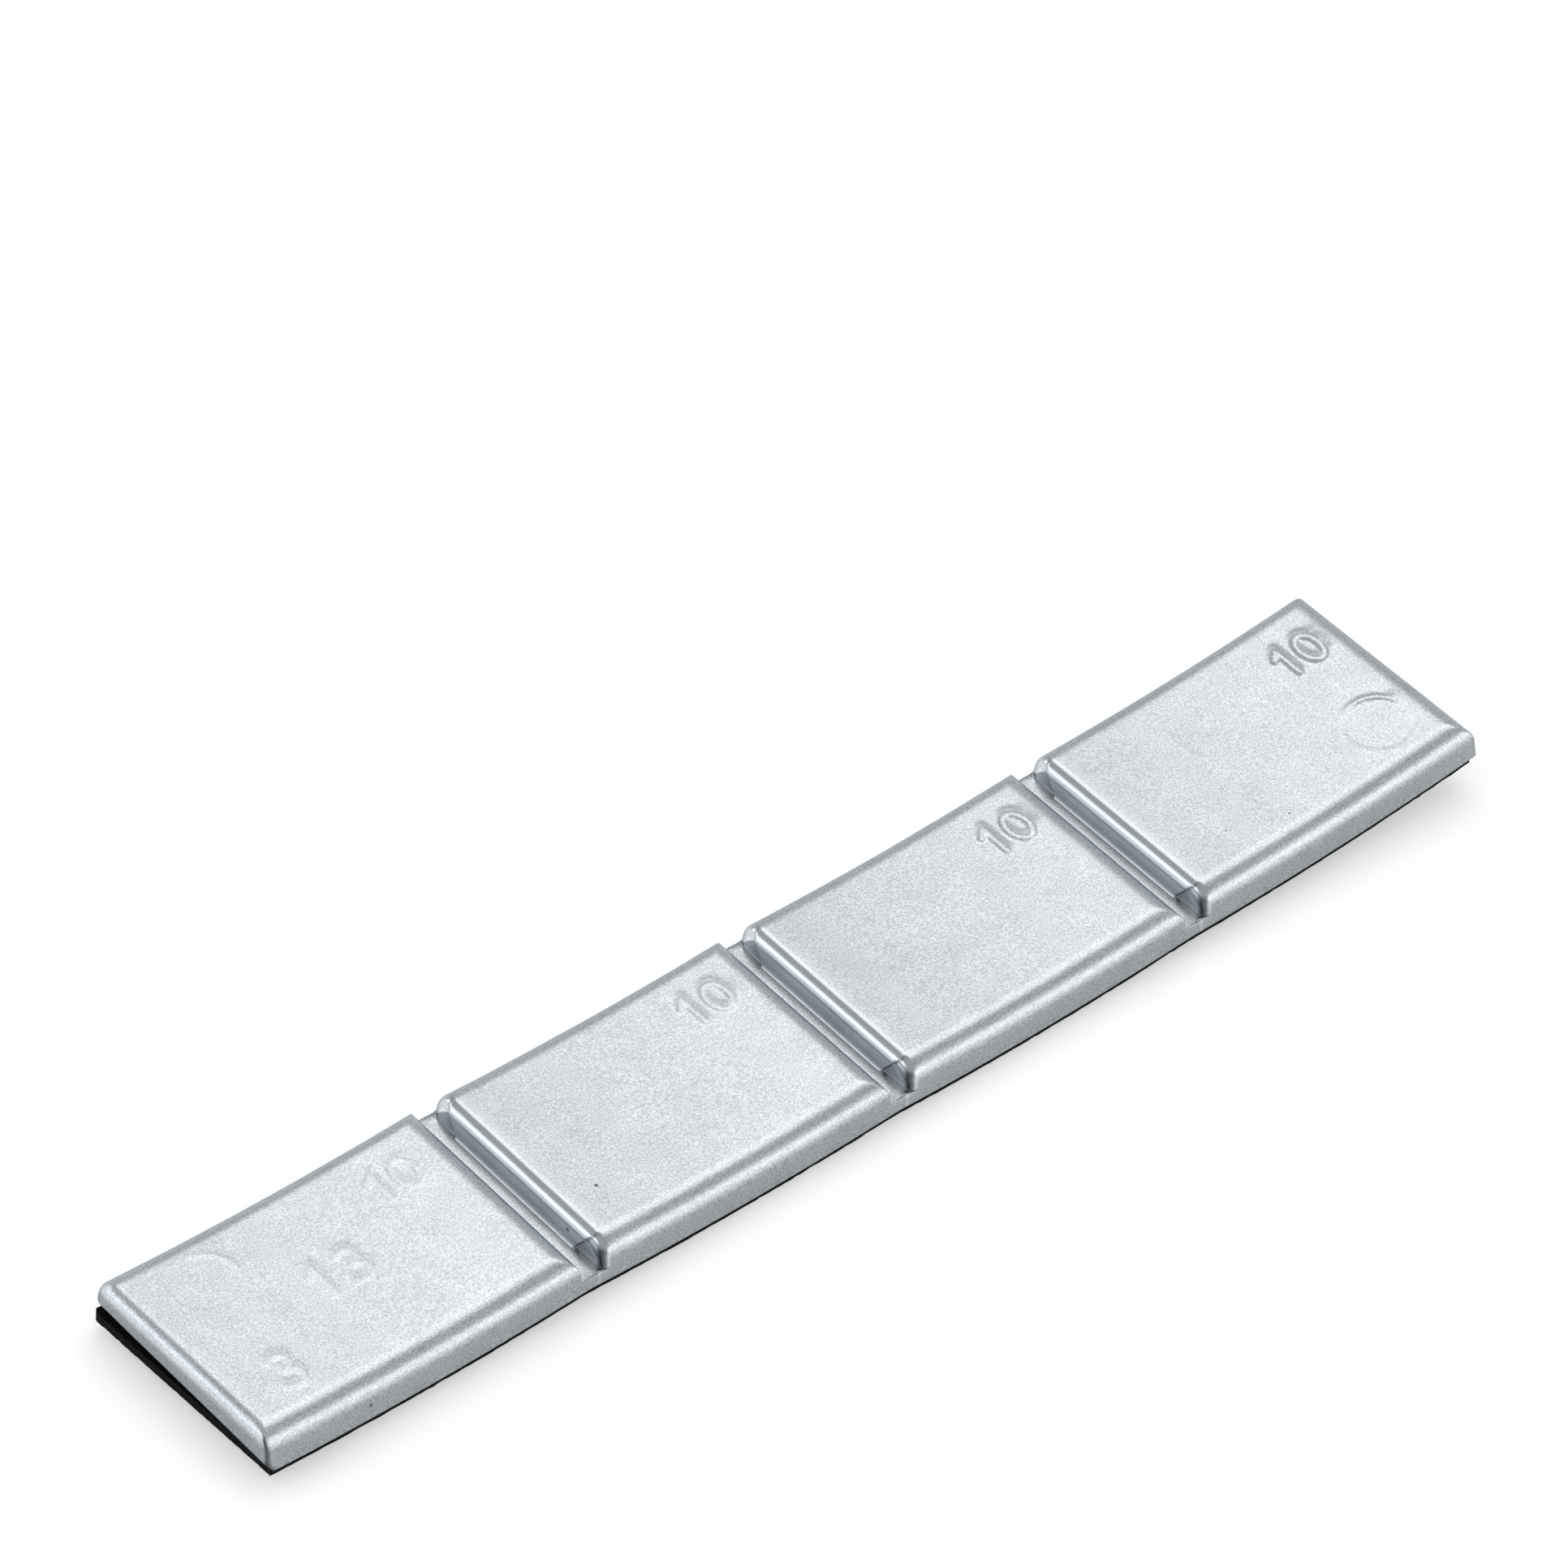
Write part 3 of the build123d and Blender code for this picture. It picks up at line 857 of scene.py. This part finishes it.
# Foam tape, flat
def tape_outline():
    """Places across the tape's section from -Y to +Y, and the heights of its upper and lower side there."""
    half = TAPE_WIDTH / 2
    r = TAPE_EDGE_RADIUS
    turns = np.linspace(0.0, math.pi / 2, TAPE_CORNER_STEPS)
    edge_y = half - r + r * np.cos(turns)
    edge_z = r * np.sin(turns) - r
    flat = np.linspace(-half + r, half - r, TAPE_STEPS_ACROSS)[1:-1]
    y = np.concatenate([-edge_y, flat, edge_y[::-1]])
    z = np.concatenate([edge_z, np.zeros(len(flat)), edge_z[::-1]])
    return y, z, -TAPE_THICKNESS - z


def ragged(place, seed):
    """Raggedness of a cut in foam, about -1 to 1, at a place given in millimetres."""
    coarse = noise.noise((place / RAGGED_COARSE, seed + RAGGED_COARSE_SEED, 0.0))
    return noise.noise((place / RAGGED_FINE, seed, 0.0)) + RAGGED_COARSE_SHARE * coarse


def ragged_cut(places, seed):
    """How far a ragged cut end stands back at places across the tape."""
    return TAPE_CUT_ROUGHNESS * np.abs([ragged(place, seed) for place in places])


def tape_skin():
    """The foam tape, flat: slit along its long edges and cut off askew at its -X end."""
    skin = Skin()
    y, upper_z, lower_z = tape_outline()
    half = TAPE_WIDTH / 2
    into_corner = np.clip((y - half + TAPE_CORNER_RADIUS) / TAPE_CORNER_RADIUS, 0.0, 1.0)
    start = -FIRST_END_EXTRA - TAPE_OVERHANG + TAPE_SKEW * (half - y) / TAPE_WIDTH
    start += TAPE_CORNER_RADIUS * (1.0 - np.sqrt(1.0 - into_corner ** 2))
    start += ragged_cut(y, START_SEED)
    stop = STRIP_LENGTH - TAPE_END_INSET - ragged_cut(y, STOP_SEED)
    upper, lower = [], []
    for share in np.linspace(0.0, 1.0, TAPE_STEPS_ALONG):
        x = start + share * (stop - start)
        near = TAPE_EDGE_WANDER * ragged(share * STRIP_LENGTH, NEAR_SEED) - TAPE_NEAR_SPREAD
        far = TAPE_EDGE_WANDER * ragged(share * STRIP_LENGTH, FAR_SEED)
        across = TAPE_SHIFT + y + near + (far - near) * (y + half) / TAPE_WIDTH
        upper.append(np.stack([x, across, upper_z], 1))
        lower.append(np.stack([x, across, lower_z], 1))
    skin.grid(upper)
    skin.grid(lower)
    for side in (0, -1):
        skin.grid([(over[side], under[side]) for over, under in zip(upper, lower)])
    for end in (0, -1):
        skin.grid([upper[end], lower[end]])
    return skin


# Bowed adhesive line that both pieces follow
class Walk:
    """A place on the adhesive line: its point in the XZ plane and the slope of the strip there."""

    def __init__(self, x, z, slope):
        self.x = x
        self.z = z
        self.slope = slope

    def onward(self, length, radius):
        """The place reached after a run of the given length and bend radius."""
        turn = length / radius
        ahead = length if math.isinf(radius) else radius * math.sin(turn)
        above = 0.0 if math.isinf(radius) else radius * (1.0 - math.cos(turn))
        c, s = math.cos(self.slope), math.sin(self.slope)
        return Walk(self.x + ahead * c - above * s, self.z + ahead * s + above * c, self.slope + turn)

    def bend_centre(self):
        """Centre of the rim's bow that starts here."""
        return self.x - RIM_RADIUS * math.sin(self.slope), self.z + RIM_RADIUS * math.cos(self.slope)


def line_runs():
    """Lengths and bend radii of the line's runs: each segment's bowed and straight stretch, and the webs."""
    runs = []
    for i in range(SEGMENT_COUNT):
        runs.append((segment_stop(i) - segment_start(i) - SOFT_END_RUN, RIM_RADIUS))
        runs.append((SOFT_END_RUN, math.inf))
        if not is_last(i):
            runs.append((GROOVE_FLOOR, -GROOVE_FLOOR / math.radians(WEB_BENDS[i])))
    return runs


def run_starts(start):
    """Places where the runs start, and the end of the last one."""
    places = [start]
    for length, radius in line_runs():
        places.append(places[-1].onward(length, radius))
    return places


def resting_start():
    """Start of the line with the strip lying on its two middle segments, their bend centres level."""
    trial = run_starts(Walk(0.0, 0.0, 0.0))
    middle = SEGMENT_COUNT // 2
    x_before, z_before = trial[RUNS_PER_PITCH * (middle - 1)].bend_centre()
    x_after, z_after = trial[RUNS_PER_PITCH * middle].bend_centre()
    slope = -math.atan2(z_after - z_before, x_after - x_before)
    level = run_starts(Walk(0.0, 0.0, slope))
    lowest = level[RUNS_PER_PITCH * middle].bend_centre()[1] - RIM_RADIUS
    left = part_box("weight_strip")[0].x / MM
    return Walk(left, TAPE_THICKNESS - lowest, slope)


def adhesive_line():
    """Curve object of the bowed adhesive line, in metres."""
    start = resting_start()
    places = [start.onward(-LINE_LEAD, RIM_RADIUS)] + run_starts(start)
    runs = [(LINE_LEAD, RIM_RADIUS)] + line_runs() + [(LINE_LEAD, math.inf)]
    steps = []
    for place, (length, radius) in zip(places, runs):
        count = int(math.ceil(length / LINE_STEP))
        steps += [place.onward(length * k / count, radius) for k in range(count)]
    steps.append(places[-1].onward(LINE_LEAD, math.inf))
    curve = bpy.data.curves.new("adhesive_line", "CURVE")
    curve.dimensions = "3D"
    spline = curve.splines.new("POLY")
    spline.points.add(len(steps) - 1)
    for point, step in zip(spline.points, steps):
        point.co = (step.x * MM, 0.0, step.z * MM, 1.0)
    return linked("adhesive_line", curve)


class Graph:
    """A node tree, with short forms for the nodes used here. They take outputs of nodes or plain values."""

    def __init__(self, tree):
        self.nodes = tree.nodes
        self.links = tree.links

    def feed(self, node, inputs):
        """Links a node's inputs, by name or number, to outputs, or sets plain values on them."""
        for name, value in inputs.items():
            if isinstance(value, bpy.types.NodeSocket):
                self.links.new(value, node.inputs[name])
            else:
                node.inputs[name].default_value = value
        return node.outputs

    def new(self, kind, inputs):
        """Outputs of a new node."""
        return self.feed(self.nodes.new(kind), inputs)

    def maths(self, operation, first, second):
        """Result of an operation on two numbers."""
        node = self.nodes.new("ShaderNodeMath")
        node.operation = operation
        return self.feed(node, {0: first, 1: second})[0]

    def vector_maths(self, operation, first, second):
        """Result of an operation on two vectors, or on a vector and a number that scales it."""
        node = self.nodes.new("ShaderNodeVectorMath")
        node.operation = operation
        outputs = self.feed(node, {0: first, "Scale" if operation == "SCALE" else 1: second})
        return outputs["Value" if operation == "DISTANCE" else "Vector"]

    def parts(self, vector):
        """Outputs X, Y and Z of a vector."""
        return self.new("ShaderNodeSeparateXYZ", {0: vector})

    def vector(self, x, y, z):
        """Vector of three numbers."""
        return self.new("ShaderNodeCombineXYZ", {"X": x, "Y": y, "Z": z})[0]

    def mixed(self, kind, blend, amount, first, second):
        """Mix of two numbers or colours by an amount."""
        node = self.nodes.new("ShaderNodeMix")
        node.data_type = kind
        node.blend_type = blend
        return self.feed(node, {"Factor": amount, "A": first, "B": second})["Result"]

    def ranged(self, amount, result, span=(0.0, 1.0)):
        """An amount over a span, brought to the range of the result."""
        ends = {"From Min": span[0], "From Max": span[1], "To Min": result[0], "To Max": result[1]}
        return self.new("ShaderNodeMapRange", {"Value": amount, **ends})["Result"]

    def ramp(self, amount, span, colours):
        """Colour that goes from the first to the second over a span of an amount."""
        node = self.nodes.new("ShaderNodeValToRGB")
        for element, position, colour in zip(node.color_ramp.elements, span, colours):
            element.position = position
            element.color = colour
        return self.feed(node, {"Fac": amount})["Color"]

    def noise(self, place, scale, roughness):
        """Noise at a place. Its scale is the number of features to the metre."""
        inputs = {"Vector": place, "Scale": scale, "Detail": NOISE_DETAIL, "Roughness": roughness}
        return self.new("ShaderNodeTexNoise", inputs)["Fac"]

    def bump(self, strength, height, form):
        """Surface direction with the relief of a form, of a height in millimetres."""
        inputs = {"Strength": strength, "Distance": height * MM, "Height": form}
        return self.new("ShaderNodeBump", inputs)["Normal"]

    def stored(self, name):
        """Outputs of what is stored on the mesh under a name."""
        node = self.nodes.new("ShaderNodeAttribute")
        node.attribute_name = name
        return node.outputs

    def place(self, kind):
        """Coordinates of a kind."""
        return self.new("ShaderNodeTexCoord", {})[kind]


def lay_tree():
    """Node tree that lays a flat piece along a line: x is its way along, z its height above the line."""
    tree = bpy.data.node_groups.new("lay_along_line", "GeometryNodeTree")
    for name, in_out, kind in LAY_SOCKETS:
        tree.interface.new_socket(name, in_out=in_out, socket_type=kind)
    graph = Graph(tree)
    given = graph.new("NodeGroupInput", {})
    position = graph.new("GeometryNodeInputPosition", {})["Position"]
    flat = graph.parts(graph.vector_maths("SCALE", position, given["Unit"]))

    line = graph.new("GeometryNodeObjectInfo", {"Object": given["Line"]})["Geometry"]
    sample = tree.nodes.new("GeometryNodeSampleCurve")
    sample.mode = "LENGTH"
    sample.data_type = "FLOAT_VECTOR"
    spot = graph.feed(sample, {"Curves": line, "Length": graph.maths("ADD", flat["X"], given["Lead"])})

    tangent = graph.parts(spot["Tangent"])
    upright = graph.vector(graph.maths("MULTIPLY", tangent["Z"], -1.0), 0.0, tangent["X"])
    raised = graph.vector_maths("SCALE", upright, flat["Z"])
    beside = graph.vector_maths("ADD", spot["Position"], graph.vector(0.0, flat["Y"], 0.0))
    laid = graph.vector_maths("ADD", beside, raised)

    placed = graph.new("GeometryNodeSetPosition", {"Geometry": given["Flat piece"], "Position": laid})
    real = graph.new("GeometryNodeRealizeInstances", {"Geometry": placed["Geometry"]})
    finish = {"Geometry": real["Geometry"], "Material": given["Finish"]}
    finished = graph.new("GeometryNodeSetMaterial", finish)
    graph.new("NodeGroupOutput", {"Laid piece": finished["Geometry"]})
    return tree


def lay(data, tree, line, material):
    """Object of a flat mesh laid along the line, as a plain mesh."""
    piece = linked(data.name, data)
    modifier = piece.modifiers.new("lay", "NODES")
    modifier.node_group = tree
    sockets = {item.name: item.identifier for item in tree.interface.items_tree if item.in_out == "INPUT"}
    modifier[sockets["Line"]] = line
    modifier[sockets["Lead"]] = (LINE_LEAD + FIRST_END_EXTRA) * MM
    modifier[sockets["Unit"]] = MM
    modifier[sockets["Finish"]] = material
    graph = bpy.context.evaluated_depsgraph_get()
    laid = bpy.data.meshes.new_from_object(piece.evaluated_get(graph))
    laid.name = data.name
    piece.modifiers.remove(modifier)
    piece.data = laid
    bpy.data.meshes.remove(data)
    laid.shade_smooth()
    laid.set_sharp_from_angle(angle=SHARP_ANGLE)
    return piece


# Finishes
def new_material(name):
    """A material, its graph and its surface shader."""
    material = bpy.data.materials.new(name)
    material.use_nodes = True
    return material, Graph(material.node_tree), material.node_tree.nodes["Principled BSDF"]


def darkening_amount(graph):
    """Amount of darkening: painted shade along the marked edges and the crease, and the dark specks."""
    place = graph.stored("flat_place")["Vector"]
    amount = graph.stored("worn_dark")["Fac"]
    for spot, radius in SPECKS:
        apart = graph.vector_maths("DISTANCE", place, spot)
        speck = graph.ranged(apart, (1.0, 0.0), (SPECK_CORE * radius, radius))
        amount = graph.maths("MAXIMUM", amount, speck)
    return amount


def silver_coating():
    """Silver coating with fine flakes: painted shade on the outer walls and along some edges and a crease,
    painted light on the crisp groove walls, dark specks, and polish in places.
    """
    material, graph, shader = new_material("silver_coating")
    place = graph.place("Object")
    grain = graph.noise(place, GRAIN_SCALE, GRAIN_ROUGHNESS)
    clouds = graph.noise(place, CLOUD_SCALE, CLOUD_ROUGHNESS)
    polished = graph.stored("polished")["Fac"]
    flakes = graph.mixed("FLOAT", "MIX", polished, grain, GRAIN_MIDDLE)
    # The top's flakes, and a darker copy of them for the painted shade on the outer walls.
    top = graph.ramp(flakes, FLAKE_SPAN, TOP_FLAKES)
    wall = graph.ramp(flakes, FLAKE_SPAN, SHADED_WALL_FLAKES)
    coat = graph.mixed("RGBA", "MIX", graph.stored("thin_coat")["Fac"], top, wall)
    # painted shade on edges and the crease, and the dark specks
    darkening = graph.mixed("RGBA", "MIX", darkening_amount(graph), coat, SHADE_AND_SPECK_COLOUR)
    # painted light on the crisp groove walls
    bright = graph.ranged(graph.stored("wall_glow")["Fac"], PAINTED_LIGHT_RANGE)
    shade = graph.maths("MULTIPLY", graph.ranged(clouds, CLOUD_SHADE), bright)
    graph.feed(shader, {
        "Base Color": graph.mixed("RGBA", "MULTIPLY", 1.0, darkening, shade),
        "Metallic": 1.0,
        "Specular Tint": COAT_TINT,
        "Roughness": graph.ranged(polished, COAT_ROUGHNESS),
        "Normal": graph.bump(graph.ranged(polished, COAT_BUMP), COAT_BUMP_HEIGHT, grain),
    })
    return material


def black_foam():
    """Matt black foam with a fine pale speckle."""
    material, graph, shader = new_material("black_foam")
    cell_inputs = {"Vector": graph.place("Object"), "Scale": CELL_SCALE}
    cells = graph.new("ShaderNodeTexVoronoi", cell_inputs)["Distance"]
    graph.feed(shader, {
        "Base Color": graph.ramp(cells, CELL_SPAN, CELL_COLOURS),
        "Roughness": FOAM_ROUGHNESS,
        "Specular IOR Level": FOAM_SPECULAR,
        "Normal": graph.bump(FOAM_BUMP, FOAM_BUMP_HEIGHT, cells),
    })
    return material


def floor_paper():
    """Plain pale floor, lifted to white where the camera or a shiny surface sees it."""
    material, graph, shader = new_material("floor_paper")
    ray = graph.new("ShaderNodeLightPath", {})
    seen = graph.maths("MAXIMUM", ray["Is Camera Ray"], ray["Is Glossy Ray"])
    seen_or_through = graph.maths("MAXIMUM", seen, ray["Is Transmission Ray"])
    graph.feed(shader, {
        "Base Color": FLOOR_COLOUR,
        "Roughness": 1.0,
        "Specular IOR Level": 0.0,
        "Emission Color": WHITE,
        "Emission Strength": graph.maths("MULTIPLY", seen_or_through, FLOOR_LIFT),
    })
    return material


# Floor, lamps, surroundings and camera
def studio_floor():
    """Level floor below the part."""
    data = bpy.data.meshes.new("floor")
    reach = FLOOR_REACH
    corners = [(-reach, -reach, 0.0), (reach, -reach, 0.0), (reach, reach, 0.0), (-reach, reach, 0.0)]
    data.from_pydata(corners, [], [(0, 1, 2, 3)])
    data.materials.append(floor_paper())
    floor = linked("floor", data)


def way_out(azimuth, elevation):
    """Direction from the part at an azimuth (0 is -Y, a right angle is +X) and an elevation, in radians."""
    level = math.cos(elevation)
    return Vector((math.sin(azimuth) * level, -math.cos(azimuth) * level, math.sin(elevation)))


def lamp_width(degrees):
    """Width of a lamp that spans an angle, seen from the part."""
    return 2.0 * LIGHT_DISTANCE * math.tan(math.radians(degrees / 2))


def softbox(name, place, spans, brightness, colour):
    """Softbox at an azimuth and elevation, of a width and height, all in degrees. Brightness 1 is white."""
    data = bpy.data.lights.new(name, "AREA")
    data.shape = "RECTANGLE"
    data.size = lamp_width(spans[0])
    data.size_y = lamp_width(spans[1])
    data.energy = math.pi * data.size * data.size_y * brightness
    data.color = colour
    lamp = linked(name, data)
    way = way_out(math.radians(place[0]), math.radians(place[1]))
    lamp.location = way * LIGHT_DISTANCE
    lamp.rotation_euler = way.to_track_quat("Z", "Y").to_euler()


def studio_world():
    """Surroundings: grey, a little darker overhead."""
    world = bpy.data.worlds.new("studio")
    bpy.context.scene.world = world
    world.use_nodes = True
    graph = Graph(world.node_tree)
    height = graph.parts(graph.place("Generated"))["Z"]
    graph.feed(graph.nodes["Background"], {"Color": graph.ramp(height, SKY_SPAN, SKY_COLOURS)})


def photo_camera():
    """Camera at the photograph's viewing angle."""
    data = bpy.data.cameras.new("photo_camera")
    data.sensor_width = SENSOR_MM
    data.lens = CAMERA_LENS
    data.clip_start = CAMERA_CLIP
    camera = linked("photo_camera", data)
    back = way_out(CAMERA_AZIMUTH, CAMERA_ELEVATION)
    level = Vector((math.cos(CAMERA_AZIMUTH), math.sin(CAMERA_AZIMUTH), 0.0))
    upward = back.cross(level)
    right = level * math.cos(CAMERA_ROLL) + upward * math.sin(CAMERA_ROLL)
    turn = Matrix((right, back.cross(right), back)).transposed()
    camera.matrix_world = Matrix.Translation(CAMERA_PLACE) @ turn.to_4x4()
    bpy.context.scene.camera = camera


bpy.context.scene.view_settings.view_transform = "Standard"
studio_world()
studio_floor()
for lamp_values in LAMPS:
    softbox(*lamp_values)
photo_camera()

line_object = adhesive_line()
laying_tree = lay_tree()

casting_flat = casting_skin().mesh("cast_strip")
mark_coat(casting_flat)
uneven(casting_flat)
cast_strip = lay(casting_flat, laying_tree, line_object, silver_coating())
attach(cast_strip, "root")
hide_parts("weight_strip")

foam_tape = lay(tape_skin().mesh("foam_tape"), laying_tree, line_object, black_foam())
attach(foam_tape, "root")
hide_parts("adhesive_tape")

line_curve = line_object.data
bpy.data.objects.remove(line_object)
bpy.data.curves.remove(line_curve)
